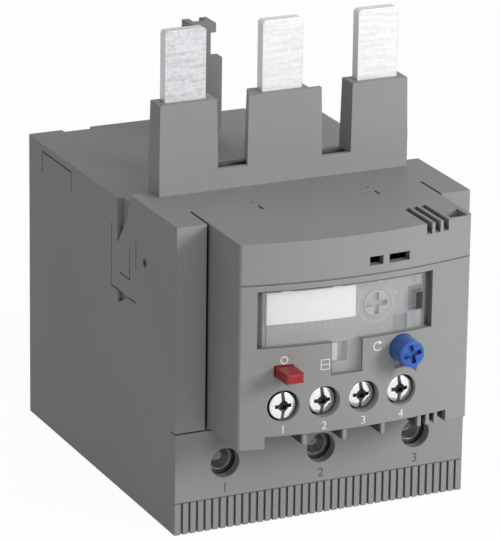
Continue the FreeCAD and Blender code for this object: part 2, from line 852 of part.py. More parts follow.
def terminal_screw(x):
    """Headless clamping screw with a hexagon socket."""
    tip = tongue_front - running_gap
    screw = rod_y(x, screw_height, clamp_screw_face, tip, clamp_screw_radius)
    screw = screw.makeChamfer(0.4, [e for e in screw.Edges if len(e.Vertexes) == 1
                                    and e.BoundBox.YLength < 0.01])
    return screw.cut(hexagon(x, screw_height, hex_across, clamp_screw_face - 1,
                             clamp_screw_face + hex_depth))


# ---- Trip mechanism ----------------------------------------------------------------------

def finger_offset():
    return strip_thickness / 2 + running_gap


def main_slide():
    """Bar whose fingers stand to the right of the strips, pushed by any hot pole."""
    reach = pole_pitch + finger_offset() + finger_width
    bar = box(-reach, reach, slide_front, slide_front + slide_thickness,
              main_slide_level, main_slide_level + slide_height)
    fingers = [box(x + finger_offset(), x + finger_offset() + finger_width,
                   slide_front + slide_thickness - 0.5, strip_front + finger_reach,
                   main_slide_level, main_slide_level + slide_height) for x in poles]
    return join(bar, *fingers)


def differential_slide():
    """Bar whose fingers stand to the left of the strips, held back by a cold pole."""
    reach = pole_pitch + finger_offset() + finger_width
    bar = box(-reach, reach, slide_front, slide_front + slide_thickness,
              differential_level, differential_level + slide_height)
    fingers = [box(x - finger_offset() - finger_width, x - finger_offset(),
                   slide_front + slide_thickness - 0.5, strip_front + finger_reach,
                   differential_level, differential_level + slide_height) for x in poles]
    return join(bar, *fingers)


def differential_lever():
    """Lever that adds the two slides' movements and pushes the compensation strip."""
    right = crank_x - compensation_thickness / 2 - running_gap
    left = right - 1.2
    top = main_slide_level + slide_height - 0.5
    plate = box(left, right, compensation_tip - 2.1, slide_front - 0.1,
                differential_level + 0.5, top)
    head = box(left - 2.0, right + 0.6, slide_front - 1.3, slide_front - 0.1,
               differential_level + 0.5, top)
    return join(plate, head)


def plunger_tip():
    return crank_y - crank_hub_radius - running_gap / 3 - reset_travel


def trip_crank():
    """Bell crank that turns the slides' sideways push into the contacts' backward one."""
    bottom = lower_ear + ear_thickness + running_gap
    top = upper_ear - running_gap
    hub = rod_z(crank_x, crank_y, bottom, top, crank_hub_radius)
    arm_end = crank_x - crank_arm
    arm = box(arm_end - crank_nose_radius, crank_x, crank_y - crank_arm_half,
              crank_y + crank_arm_half, crank_arm_level, crank_arm_level + crank_arm_height)
    nose = rod_z(arm_end, crank_y, carrier_level, crank_arm_level + crank_arm_height,
                 crank_nose_radius)
    reset_arm = box(crank_x, reset_x + plunger_radius + 0.8, plunger_tip() + reset_travel + 0.6,
                    crank_y + crank_arm_half, bottom, bottom + 2.3)
    socket = box(crank_x - compensation_thickness / 2 - 0.8,
                 crank_x + compensation_thickness / 2 + 0.8, crank_y, crank_y + crank_socket,
                 differential_level, top)
    body = join(hub, arm, nose, reset_arm, socket)
    strip_slot = box(crank_x - compensation_thickness / 2,
                     crank_x + compensation_thickness / 2, crank_y + 2.4, crank_y + 5,
                     differential_level + 0.5, main_slide_level + slide_height - 0.5)
    return body.cut([rod_z(crank_x, crank_y, bottom - 1, top + 1,
                           crank_pin_radius + turning_gap), strip_slot])


def compensation_strip():
    """Small bimetal strip that makes up for the temperature of the surroundings."""
    return box(crank_x - compensation_thickness / 2, crank_x + compensation_thickness / 2,
               crank_y + 2.4, compensation_tip, differential_level + 0.5,
               main_slide_level + slide_height - 0.5)


def crank_pin():
    return rod_z(crank_x, crank_y, lower_ear - 0.8, upper_ear + ear_thickness + 0.8,
                 crank_pin_radius)


def mechanism_plate():
    """Upright plate behind the controls: it carries the crank's pin and the carrier."""
    half = unit_half_width - wall
    back = plate_front + plate_thickness
    plate = box(-half, half, plate_front, back, unit_floor + wall,
                front_height - wall)
    ears = []
    for level in (lower_ear, upper_ear):
        ear = box(crank_x - ear_radius, crank_x + ear_radius, back - 0.5, crank_y, level,
                  level + ear_thickness)
        ears.append(join(ear, rod_z(crank_x, crank_y, level, level + ear_thickness,
                                    ear_radius)))
    body = join(plate, *ears)
    tail_x = crank_x - crank_arm
    return body.cut([
        rod_z(crank_x, crank_y, lower_ear - 1, upper_ear + ear_thickness + 1,
              crank_pin_radius),
        box(tail_x - carrier_tail_half - running_gap, tail_x + carrier_tail_half + running_gap,
            plate_front - 1, back + 1, carrier_level - running_gap,
            carrier_level + carrier_height + running_gap),
        rod_y(reset_x, reset_z, plate_front - 1, back + 1, plunger_radius + 2 * turning_gap),
    ])


# ---- Auxiliary contacts ------------------------------------------------------------------

def aux_terminal(i):
    """Screw plate, tail and fixed contact of one auxiliary terminal."""
    x = aux_x[i]
    left = x - aux_pitch / 2 + divider_shift + divider
    right = x + aux_pitch / 2 + divider_shift
    plate_back = aux_plate_front + aux_plate_thickness
    bottom = aux_height - 3.6
    plate = box(left, right, aux_plate_front, plate_back, bottom,
                tail_level + tail_thickness)
    normally_closed = i < 2
    if normally_closed:
        flange_front = nc_face - flange_thickness
        rivet = rod_y(x, contact_height, nc_face - 0.2, nc_face + rivet_thickness,
                      rivet_radius)
    else:
        flange_front = no_face + rivet_thickness
        rivet = rod_y(x, contact_height, no_face, flange_front + 0.2, rivet_radius)
    flange_back = flange_front + flange_thickness
    tail = box(x - tail_half, x + tail_half, plate_back - 0.5, flange_back, tail_level,
               tail_level + tail_thickness)
    flange = box(x - tail_half, x + tail_half, flange_front, flange_back, tail_level,
                 contact_height + rivet_radius + 0.1)
    body = join(plate, tail, flange, rivet)
    return body.cut(rod_y(x, aux_height, aux_plate_front - 1, plate_back + 1,
                          aux_shank_radius + turning_gap))


def clamp_washer(i):
    """Square pressure plate under the head of an auxiliary screw."""
    x = aux_x[i]
    washer = box(x - aux_washer_half, x + aux_washer_half, aux_washer_front,
                 aux_washer_front + aux_washer_thickness, aux_height - aux_washer_half,
                 aux_height + aux_washer_half)
    return washer.cut(rod_y(x, aux_height, aux_washer_front - 1,
                            aux_washer_front + aux_washer_thickness + 1,
                            aux_shank_radius + turning_gap))


def aux_screw(i):
    """Auxiliary terminal screw with a slot and a cross recess."""
    x = aux_x[i]
    head_back = aux_head_face + aux_head_height
    head = rod_y(x, aux_height, aux_head_face, head_back, aux_head_radius)
    rim = [e for e in head.Edges if e.BoundBox.YMax < aux_head_face + 0.01]
    head = head.makeChamfer(0.35, rim)
    shank_tip = aux_plate_front + aux_plate_thickness + 1.2
    shank = rod_y(x, aux_height, head_back - 0.5, shank_tip, aux_shank_radius)
    slot = box(x - 0.45, x + 0.45, aux_head_face - 1, aux_head_face + 0.9,
               aux_height - aux_head_radius - 1, aux_height + aux_head_radius + 1)
    cross = box(x - 1.9, x + 1.9, aux_head_face - 1, aux_head_face + 1.3,
                aux_height - 0.45, aux_height + 0.45)
    well = Part.makeCone(1.2, 0.5, 1.6, V(x, aux_head_face, aux_height), V(0, 1, 0))
    return join(head, shank).cut([slot, cross, well])


def bridge(i):
    """Moving bridge with its two contact rivets, between terminals i and i + 1."""
    plate = box(aux_x[i] - bridge_overhang, aux_x[i + 1] + bridge_overhang, bridge_front,
                bridge_back, contact_height - bridge_half, contact_height + bridge_half)
    rivets = []
    for x in (aux_x[i], aux_x[i + 1]):
        if i == 0:
            rivets.append(rod_y(x, contact_height, bridge_front - rivet_thickness,
                                bridge_back, rivet_radius - 0.1))
        else:
            rivets.append(rod_y(x, contact_height, bridge_front,
                                bridge_back + rivet_thickness, rivet_radius - 0.1))
    return join(plate, *rivets)


def contact_carrier():
    """Plastic slider that carries both bridges and is pushed back by the crank."""
    nc_x = (aux_x[0] + aux_x[1]) / 2
    no_x = (aux_x[2] + aux_x[3]) / 2
    bar_back_y = bridge_back + bridge_lift + carrier_bar + turning_gap
    bar_front_y = bar_back_y - carrier_bar
    top = carrier_level + carrier_height
    foot = contact_height - 0.9
    pieces = [box(nc_x - carrier_half, no_x + carrier_half, bar_front_y, bar_back_y,
                  carrier_level, top)]
    lip_back = bridge_front - 0.1
    for x, wall_front in ((nc_x, bar_front_y), (no_x, bridge_back + 0.1)):
        x0, x1 = x - carrier_half, x + carrier_half
        cap_bottom = contact_height + 1.5
        pieces.append(box(x0, x1, wall_front, bar_back_y, foot, top))
        pieces.append(box(x0, x1, lip_back - carrier_lip, bar_back_y, cap_bottom,
                          carrier_level + 0.5))
        pieces.append(box(x0, x1, lip_back - carrier_lip, lip_back, foot, cap_bottom + 0.5))
    tail_x = crank_x - crank_arm
    tail = box(tail_x - carrier_tail_half, tail_x + carrier_tail_half, bar_back_y - 0.5,
               crank_y + carrier_tail_half, carrier_level, top)
    pieces.append(tail)
    body = join(pieces[0], *pieces[1:])
    eye = crank_nose_radius + running_gap
    return body.cut(box(tail_x - eye - 0.1, tail_x + eye + 0.1, crank_y - eye, crank_y + eye,
                        carrier_level - 1, top + 1))


# ---- Buttons, slider and dial ------------------------------------------------------------

def button_guide():
    """Cross wall that guides the button stems and backs their springs."""
    half = unit_half_width - wall
    back = guide_front + guide_thickness
    plate = box(-half, half, guide_front, back, tail_level + tail_thickness + running_gap,
                reset_z + guide_rise)
    return plate.cut([
        box(stop_x - stop_half_width - button_gap, stop_x + stop_half_width + button_gap,
            guide_front - 1, back + 1, stop_z - stop_half_height - button_gap,
            stop_z + stop_half_height + button_gap),
        box(test_x0 + 0.4, test_x0 + test_knob + test_travel + 0.4, guide_front - 1,
            back + 1, carrier_level - running_gap, carrier_level + 1.5 + running_gap),
        rod_y(reset_x, reset_z, guide_front - 1, back + 1, plunger_radius + 2 * turning_gap),
    ])


def stop_flange_front():
    return skin_y(stop_x - stop_flange_half, wall) + running_gap


def stop_button():
    """Red push button: its foot pushes the closed bridge open."""
    x0, x1 = stop_x - stop_half_width, stop_x + stop_half_width
    z0, z1 = stop_z - stop_half_height, stop_z + stop_half_height
    face = skin_y(stop_x) - stop_reach
    guide_back = guide_front + guide_thickness
    foot_front = guide_back + running_gap
    foot_back = bridge_front - stop_travel + bridge_lift - running_gap
    stem = box(x0, x1, face, foot_back, z0, z1)
    nose = [e for e in stem.Edges if e.BoundBox.YMax < face + 0.01]
    stem = stem.makeChamfer(0.3, nose)
    flange_front = stop_flange_front()
    flange = box(stop_x - stop_flange_half, stop_x + stop_flange_half, flange_front,
                 flange_front + stop_flange_thickness, stop_z - stop_flange_half + 0.1,
                 stop_z + stop_flange_half - 0.1)
    nc_x = (aux_x[0] + aux_x[1]) / 2
    prong_right = nc_x - carrier_half - running_gap
    head = box(x0, prong_right, foot_front, foot_back, contact_height + 1.4, carrier_level)
    prong = box(prong_right - stop_prong, prong_right, foot_front, foot_back,
                contact_height - 0.8, carrier_level)
    tail_clear = box(aux_x[0] - tail_half - 0.5, aux_x[0] + tail_half + 0.5,
                     nc_face - flange_thickness - stop_travel - running_gap, foot_back + 1, 0,
                     contact_height + rivet_radius + 0.4)
    return join(stem, flange, head, prong).cut(tail_clear)


def stop_spring():
    return coil_y(stop_x, stop_z, stop_flange_front() + stop_flange_thickness, guide_front,
                  stop_spring_radius, spring_wire, spring_turns)


def reset_flange_front():
    return skin_y(reset_x, reset_boss_depth) + running_gap


def reset_knob():
    """Blue knob: pressed to reset, turned between manual and automatic."""
    face = skin_y(reset_x) - reset_reach
    back = reset_flange_front() - running_gap
    body = rod_y(reset_x, reset_z, face, back, reset_radius)
    rim = [e for e in body.Edges if e.BoundBox.YMax < face + 0.01]
    body = body.makeChamfer(0.3, rim)
    pointer = prism([V(reset_x - 0.75, face, reset_z - reset_radius + 0.4),
                     V(reset_x + 0.75, face, reset_z - reset_radius + 0.4),
                     V(reset_x, face, reset_z - reset_radius - reset_pointer)],
                    V(0, 2.1, 0))
    body = join(body, pointer)
    cuts = [
        rod_y(reset_x, reset_z, face + 4.4, back + 1, plunger_radius + turning_gap),
        box(reset_x - 2.1, reset_x + 2.1, face - 1, face + slot_sink, reset_z - 0.5,
            reset_z + 0.5),
        box(reset_x - 0.5, reset_x + 0.5, face - 1, face + slot_sink, reset_z - 2.1,
            reset_z + 2.1),
    ]
    body = body.cut(cuts)
    body.rotate(V(reset_x, 0, reset_z), V(0, 1, 0), -reset_rest_turn)
    return body


def reset_plunger():
    """Rod behind the reset knob, which pushes the crank back to its set position."""
    face = skin_y(reset_x) - reset_reach
    flange_front = reset_flange_front()
    rod = rod_y(reset_x, reset_z, face + 4.7, plunger_tip(), plunger_radius)
    flange = rod_y(reset_x, reset_z, flange_front, flange_front + reset_flange_thickness,
                   reset_flange)
    return join(rod, flange)


def reset_spring():
    return coil_y(reset_x, reset_z, reset_flange_front() + reset_flange_thickness,
                  guide_front, reset_spring_radius, spring_wire, spring_turns)


def test_slider():
    """Slide in the window, which shows a trip and is pushed sideways to test."""
    x0 = test_x0 + 0.2
    floor_back = skin_y(x0 - test_skirt, recess_depth + recess_floor)
    plate_y = floor_back + running_gap / 3
    plate = box(x0 - test_skirt, test_x1 + 1.8, plate_y, plate_y + test_plate, test_z0 - 1.3,
                test_z1 + 1.2)
    knob = box(x0, x0 + test_knob, floor_back - 2.3, plate_y + 0.5, test_z0 + 0.2,
               test_z1 - 0.2)
    knob = knob.makeFillet(0.25, [e for e in knob.Edges
                                  if e.BoundBox.YMax < floor_back - 2.2])
    stem = box(x0 + 0.5, x0 + 1.7, plate_y + 0.5, guide_front + guide_thickness + 1.1,
               carrier_level, carrier_level + 1.5)
    return join(plate, knob, stem)


def dial_floor():
    """Y of the recess floor's back at the outer edge of the dial's flange."""
    return skin_y(abs(dial_x) + dial_flange, recess_depth + recess_floor)


def spiral_cam(y0, thickness):
    """Cam whose radius grows evenly over the dial's range, highest for the top setting."""
    half = math.radians(dial_range / 2)
    steps = 18
    middle = cam_small + cam_rise / 2
    points = []
    for i in range(steps + 1):
        turn = -half + 2 * half * i / steps
        radius = middle + cam_rise * turn / (2 * half)
        direction = math.pi + turn
        points.append(V(dial_x + radius * math.cos(direction), y0,
                        dial_z + radius * math.sin(direction)))
    curve = Part.BSplineCurve()
    curve.interpolate(points)
    edges = [curve.toShape(), Part.makeLine(points[-1], V(dial_x, y0, dial_z)),
             Part.makeLine(V(dial_x, y0, dial_z), points[0])]
    sector = Part.Face(Part.Wire(edges)).extrude(V(0, thickness, 0))
    return join(sector, rod_y(dial_x, dial_z, y0, y0 + thickness, cam_small - 0.6))


def current_dial():
    """Setting dial with a cross slot; its cam moves the setting slide."""
    floor_back = dial_floor()
    face = skin_y(dial_x, recess_depth) - dial_proud
    flange_front = floor_back + running_gap / 2
    disc = rod_y(dial_x, dial_z, face, flange_front + 0.5, dial_radius)
    rim = [e for e in disc.Edges if e.BoundBox.YMax < face + 0.01]
    disc = disc.makeChamfer(0.25, rim)
    flange = rod_y(dial_x, dial_z, flange_front, cam_front(), dial_flange)
    cam = spiral_cam(cam_front(), cam_thickness)
    body = join(disc, flange, cam)
    return body.cut([
        box(dial_x - slot_arm, dial_x + slot_arm, face - 1, face + slot_sink,
            dial_z - slot_width / 2, dial_z + slot_width / 2),
        box(dial_x - slot_width / 2, dial_x + slot_width / 2, face - 1, face + slot_sink,
            dial_z - slot_arm, dial_z + slot_arm),
    ])


def cam_front():
    return dial_floor() + running_gap / 2 + dial_rim


def follower_tip():
    return dial_x - cam_small - cam_rise / 2 - turning_gap * 3


def setting_slide():
    """Follower that the dial's cam moves sideways to set the trip current."""
    y0 = cam_front()
    tip = follower_tip()
    foot = box(tip - 1.0 - follower_length, tip - 1.0, y0, y0 + cam_thickness,
               dial_z - follower_half, dial_z + follower_half)
    nose = prism([V(tip - 1.2, y0, dial_z - 1.2), V(tip, y0, dial_z - 0.2),
                  V(tip, y0, dial_z + 0.2), V(tip - 1.2, y0, dial_z + 1.2)],
                 V(0, cam_thickness, 0))
    return join(foot, nose)


def marking_label():
    """Plain white label on the recess floor."""
    inset = recess_depth - label_thickness
    body = curved_slab(label_x0, label_x1, label_z0, label_z1, inset, label_thickness)
    tabs = [curved_slab(x, x + label_tab_width, label_z1 - 0.1, label_z1 + label_tab_rise,
                        inset, label_thickness)
            for x in (label_x0 + label_tab_inset,
                      label_x1 - label_tab_inset - label_tab_width)]
    return join(body, *tabs)


def clear_cover():
    """Clear hinged cover over label and dial, with a tab over the test slider."""
    z0, z1 = recess_z0 + lid_gap, recess_z1 - lid_gap
    sheet = curved_slab(lid_left, lid_right, z0, z1, lid_sink, lid_thickness)
    tab = curved_slab(tab_x0 + lid_gap, tab_x1 - lid_gap, tab_z0 + lid_gap, z0 + 0.5,
                      lid_sink, lid_thickness)
    barrel = rod_z(lid_hinge_x, lid_hinge_y, z0, z1, lid_barrel)
    barrel = barrel.cut(curved_slab(lid_hinge_x - lid_trim, lid_hinge_x + lid_trim, z0 - 1,
                                    z1 + 1, -lid_trim, lid_trim + lid_sink))
    pin = rod_z(lid_hinge_x, lid_hinge_y, z0 - lid_pin_length, z1 + lid_pin_length, lid_pin)
    catch = curved_slab(catch_x0, catch_x1, catch_z0, catch_z1, lid_sink + 0.5,
                        recess_depth + 0.5)
    return join(sheet, tab, barrel, pin, catch)


# ---- Export ------------------------------------------------------------------------------

def save(name, shape):
    moved = shape.copy()
    moved.translate(V(0, -housing_depth / 2, 0))
    moved.exportStep("parts/" + name + ".step")


os.makedirs("parts", exist_ok=True)

single_pieces = [
    base_housing, front_housing, terminal_cover, blade_shroud, latch_hook, main_slide,
    differential_slide, differential_lever, trip_crank, compensation_strip, crank_pin,
    mechanism_plate, contact_carrier, button_guide, stop_button, stop_spring, reset_knob,
    reset_plunger, reset_spring, test_slider, current_dial, setting_slide, marking_label,
    clear_cover,
]
for piece in single_pieces:
    save(piece.__name__, piece())

for number, pole in enumerate(poles, 1):
    for piece in (line_blade, load_busbar, bimetal_strip, insulating_sleeve,
                  heater_winding, clamp_cage, terminal_screw):
        save(piece.__name__ + "_" + str(number), piece(pole))

for number in range(aux_count):
    for piece in (aux_terminal, clamp_washer, aux_screw):
        save(piece.__name__ + "_" + str(number + 1), piece(number))

save("nc_contact_bridge", bridge(0))
save("no_contact_bridge", bridge(2))
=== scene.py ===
# Thermal overload relay: a grey moulded relay with three plug-in blades, dressed over its frame.
import math

import bpy
import numpy as np
from mathutils import Matrix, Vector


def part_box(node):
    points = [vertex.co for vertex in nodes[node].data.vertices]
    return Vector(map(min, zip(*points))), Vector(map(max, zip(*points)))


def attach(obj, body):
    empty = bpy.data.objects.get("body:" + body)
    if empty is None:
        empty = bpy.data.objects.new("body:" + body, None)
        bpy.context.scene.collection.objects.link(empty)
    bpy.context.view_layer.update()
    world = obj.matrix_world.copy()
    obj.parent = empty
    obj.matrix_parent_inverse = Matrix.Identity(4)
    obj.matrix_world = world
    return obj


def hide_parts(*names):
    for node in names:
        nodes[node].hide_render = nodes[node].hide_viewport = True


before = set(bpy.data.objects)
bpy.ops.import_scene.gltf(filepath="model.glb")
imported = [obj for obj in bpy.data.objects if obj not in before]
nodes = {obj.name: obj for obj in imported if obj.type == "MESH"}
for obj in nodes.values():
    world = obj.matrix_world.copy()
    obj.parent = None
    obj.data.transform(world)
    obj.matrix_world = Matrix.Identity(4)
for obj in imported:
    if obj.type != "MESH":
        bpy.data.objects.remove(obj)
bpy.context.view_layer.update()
front_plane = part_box("terminal_cover")[0][1]
scene = bpy.context.scene

# ---- Studio ------------------------------------------------------------------------------
# A pale table with one soft lamp close by at the right front. The rest of the light comes evenly
# from all round, so that the front of the relay is brighter than its top and its left side.

look_azimuth, look_elevation, look_roll = math.radians(-25.108), math.radians(18.828), 0.014066
look_distance, look_right, look_up = 0.92289, -0.015350, 0.053363
focal_share = 4189.35 / 540.0

toward = np.array([math.sin(look_azimuth) * math.cos(look_elevation),
                   -math.cos(look_azimuth) * math.cos(look_elevation), math.sin(look_elevation)])
level = np.cross([0.0, 0.0, 1.0], toward)
level /= np.linalg.norm(level)
upright = np.cross(toward, level)
camera_right = math.cos(look_roll) * level + math.sin(look_roll) * upright
camera_up = math.cos(look_roll) * upright - math.sin(look_roll) * level
camera_place = look_right * camera_right + look_up * camera_up + look_distance * toward
camera_place[1] += front_plane

camera = bpy.data.objects.new("camera", bpy.data.cameras.new("camera"))
camera.data.sensor_width = 36.0
camera.data.lens = focal_share * 36.0
camera.data.clip_start = 0.01
camera_matrix = np.eye(4)
camera_matrix[:3] = np.column_stack([camera_right, camera_up, toward, camera_place])
camera.matrix_world = Matrix(camera_matrix.tolist())
scene.collection.objects.link(camera)
scene.camera = camera
scene.view_settings.view_transform = "Standard"


class Pattern:
    """One output of a shader node: arithmetic on it adds Math nodes, and node() adds any other."""

    def __init__(self, tree, socket):
        self.tree, self.socket = tree, socket

    def node(self, kind, settings, sockets, output=0):
        made = self.tree.nodes.new(kind)
        for name, value in settings.items():
            setattr(made, name, value)
        for key, value in sockets.items():
            if isinstance(value, Pattern):
                self.tree.links.new(value.socket, made.inputs[key])
            else:
                made.inputs[key].default_value = value
        return Pattern(self.tree, made.outputs[output])

    def maths(self, operation, first, second):
        return self.node("ShaderNodeMath", {"operation": operation}, {0: first, 1: second})

    def __add__(self, other):
        return self.maths("ADD", self, other)

    def __sub__(self, other):
        return self.maths("SUBTRACT", self, other)

    def __rsub__(self, other):
        return self.maths("SUBTRACT", other, self)

    def __mul__(self, other):
        return self.maths("MULTIPLY", self, other)

    def __pow__(self, other):
        return self.maths("POWER", self, other)

    __radd__ = __add__
    __rmul__ = __mul__

    def mix(self, first, second):
        """The colour first where this is 0, and second where it is 1."""
        return self.node("ShaderNodeMix", {"data_type": "RGBA"}, {0: self, 6: first, 7: second}, 2)

    def noise(self, scale, detail=2.0, stretch=(1.0, 1.0, 1.0)):
        """Cloudy noise over these coordinates, with scale lumps to the metre."""
        spread = self.node("ShaderNodeVectorMath", {"operation": "MULTIPLY"}, {0: self, 1: stretch})
        return self.node("ShaderNodeTexNoise", {}, {"Vector": spread, "Scale": scale, "Detail": detail})

    def axis(self, index):
        """One of the three coordinates: 0 is right, 1 is back and 2 is up."""
        return self.node("ShaderNodeSeparateXYZ", {}, {0: self}, index)

    def window(self, low, high):
        """0 below low, 1 above high, and smooth between them."""
        return self.node("ShaderNodeMapRange", {"interpolation_type": "SMOOTHSTEP"},
                         {"Value": self, "From Min": low, "From Max": high})


def linear(*colour):
    """A colour from 0 to 255 a channel, as the shader's linear light."""
    share = np.array(colour, float) / 255
    light = np.where(share <= 0.04045, share / 12.92, ((share + 0.055) / 1.055) ** 2.4)
    return (*light.tolist(), 1.0)


def start_finish(name):
    """A new material with its shader, and the object coordinates that its patterns read."""
    finish = bpy.data.materials.new(name)
    finish.use_nodes = True
    tree = finish.node_tree
    shader = next(n for n in tree.nodes if n.type == "BSDF_PRINCIPLED")
    place = tree.nodes.new("ShaderNodeTexCoord")
    return finish, shader, Pattern(tree, place.outputs["Object"])


def set_shader(shader, sockets):
    """Puts values or patterns on the shader's own sockets."""
    for name, value in sockets.items():
        if isinstance(value, Pattern):
            value.tree.links.new(value.socket, shader.inputs[name])
        else:
            shader.inputs[name].default_value = value


def seen_or_mirrored(tree):
    """1 for what the camera sees directly, in metal or through clear plastic."""
    path = tree.nodes.new("ShaderNodeLightPath")
    seen = Pattern(tree, path.outputs["Is Camera Ray"])
    return seen + Pattern(tree, path.outputs["Is Glossy Ray"]) + Pattern(
        tree, path.outputs["Is Transmission Ray"])


def surface(name, points, *groups, smooth=True):
    """A mesh object from an array of points and groups of faces, linked to the scene."""
    mesh = bpy.data.meshes.new(name)
    mesh.from_pydata(points.tolist(), [], [face for group in groups for face in group.tolist()])
    mesh.polygons.foreach_set("use_smooth", [smooth] * len(mesh.polygons))
    made = bpy.data.objects.new(name, mesh)
    scene.collection.objects.link(made)
    return made


even_light = 0.375
world = bpy.data.worlds.new("studio")
scene.world = world
world.use_nodes = True
world_nodes = world.node_tree
background = next(n for n in world_nodes.nodes if n.type == "BACKGROUND")
background.inputs["Color"].default_value = (1.0, 1.0, 1.0, 1.0)
world_seen = seen_or_mirrored(world_nodes)
world_strength = world_seen.window(0.0, 1.0) * (1.0 - even_light) + even_light
world_nodes.links.new(world_strength.socket, background.inputs["Strength"])


def aim_lamp(name, kind, toward_lamp, distance, energy):
    """A lamp at distance from the relay's middle, in the direction toward_lamp."""
    lamp = bpy.data.objects.new(name, bpy.data.lights.new(name, kind))
    lamp.data.energy = energy
    ahead = np.array(toward_lamp) / np.linalg.norm(toward_lamp)
    side = np.cross([0.0, 0.0, 1.0], ahead)
    side /= np.linalg.norm(side)
    place = np.array([0.0, -0.032, 0.050]) + distance * ahead
    stand = np.eye(4)
    stand[:3] = np.column_stack([side, np.cross(ahead, side), ahead, place])
    lamp.matrix_world = Matrix(stand.tolist())
    lamp.visible_camera = False
    scene.collection.objects.link(lamp)
    return lamp.data


key_lamp = aim_lamp("key_lamp", "AREA", (0.80, -1.0, 0.50), 0.50, 1.6)
key_lamp.shape = "DISK"
key_lamp.size = 0.20
fill_lamp = aim_lamp("fill_lamp", "SUN", (-0.05, -1.0, 0.45), 1.0, 0.52)
fill_lamp.angle = math.radians(30)

floor_half = 3.0
floor_corners = np.array([[-1, -1, 0], [1, -1, 0], [1, 1, 0], [-1, 1, 0]]) * floor_half
table_top = surface("table_top", floor_corners, np.array([[0, 1, 2, 3]]))
table_finish, table_shader, table_place = start_finish("table_white")
set_shader(table_shader, {"Base Color": (0.66, 0.66, 0.66, 1.0), "Roughness": 0.9,
                          "Specular IOR Level": 0.1})
table_tree = table_finish.node_tree
table_glow = table_tree.nodes.new("ShaderNodeEmission")
table_glow.inputs["Strength"].default_value = 1.04
table_out = next(n for n in table_tree.nodes if n.type == "OUTPUT_MATERIAL")
table_mix = table_place.node("ShaderNodeMixShader", {}, {0: seen_or_mirrored(table_tree) * 0.92})
table_tree.links.new(table_shader.outputs[0], table_mix.socket.node.inputs[1])
table_tree.links.new(table_glow.outputs[0], table_mix.socket.node.inputs[2])
table_tree.links.new(table_mix.socket, table_out.inputs["Surface"])
table_top.data.materials.append(table_finish)

# ---- Housing mouldings -------------------------------------------------------------------
# Base, front housing, terminal cover, blade shroud and latch hook are injection moulded in grey
# glass-filled polyamide. The tool leaves a fine spark-eroded grain and slightly rounded edges.

grey_plastic = linear(148, 148, 146)
grey_plastic_dark = linear(144, 144, 142)
# The next colour is the near black of painted shade.
painted_shade_grey = linear(40, 40, 40)
edge_round = 0.00025
crevice_depth = 0.0045
grain_to_metre = 5200.0


def dress(node, finish):
    """Gives a carried-over node its finish."""
    slots = nodes[node].data.materials
    slots.clear()
    slots.append(finish)


def soft_edges(pattern, radius):
    """The surface's direction, turned near sharp edges as if they were rounded by radius."""
    return pattern.node("ShaderNodeBevel", {"samples": 6}, {"Radius": radius})


def crevice(pattern, depth):
    """1 in the open, falling to 0 in gaps and holes narrower than depth: where shade is painted."""
    return pattern.node("ShaderNodeAmbientOcclusion", {"samples": 8, "only_local": True},
                        {"Distance": depth}, 1)


moulding, moulding_shader, moulding_place = start_finish("grey_moulding")
moulding_cloud = moulding_place.noise(26.0, 3.0)
moulding_grain = moulding_place.noise(grain_to_metre, 3.0)
# Painted shade: in gaps and holes narrower than crevice_depth the colour darkens to near black.
moulding_unshaded = crevice(moulding_place, crevice_depth).window(0.0, 0.52)
moulding_tone = moulding_cloud.window(0.3, 0.7).mix(grey_plastic_dark, grey_plastic)

# The sides of the fins under the unit and the trough between the towers lie in deep shade,
# painted into the colour. Each is a region behind the front plane, inside the square of a half
# width and below a height.
shade_share = 0.75
front_curve = 4.46
fin_front, fin_back, fin_side_square, fin_top = -0.0176, -0.0006, 6.9e-4, 0.0262
trough_front, trough_back, trough_side_square, trough_top = 0.0217, 0.0252, 2.52e-4, 0.0752
moulding_back = moulding_place.axis(1) - front_plane
across_square = moulding_place.axis(0) * moulding_place.axis(0)
moulding_up = moulding_place.axis(2)
fin_side = ((moulding_back - across_square * front_curve).window(fin_front, fin_front + 0.0006)
            * (1.0 - moulding_back.window(fin_back, fin_back + 0.0004))
            * (1.0 - across_square.window(fin_side_square, fin_side_square + 3e-5))
            * (1.0 - moulding_up.window(fin_top, fin_top + 0.0004)))
trough = (moulding_back.window(trough_front, trough_front + 0.0003)
          * (1.0 - moulding_back.window(trough_back, trough_back + 0.0004))
          * (1.0 - across_square.window(trough_side_square, trough_side_square + 6e-6))
          * (1.0 - moulding_up.window(trough_top, trough_top + 0.0002)))
moulding_lit = moulding_unshaded * (1.0 - fin_side * shade_share) * (1.0 - trough * shade_share)
moulding_colour = moulding_lit.mix(painted_shade_grey, moulding_tone)
set_shader(moulding_shader, {
    "Base Color": moulding_colour,
    "Roughness": moulding_grain * 0.14 + 0.50,
    "Specular IOR Level": 0.2,
    "Normal": moulding_grain.node("ShaderNodeBump", {}, {
        "Strength": 0.12, "Distance": 0.00003, "Height": moulding_grain,
        "Normal": soft_edges(moulding_place, edge_round)}),
})
for name in ("base_housing", "front_housing", "terminal_cover", "blade_shroud", "latch_hook"):
    dress(name, moulding)

# ---- Line blades and load busbars --------------------------------------------------------
# Three copper blades stamped from strip and plated with matt tin, and the three bars from the
# heaters to the box terminals. Rolling and handling leave fine streaks in the plating.

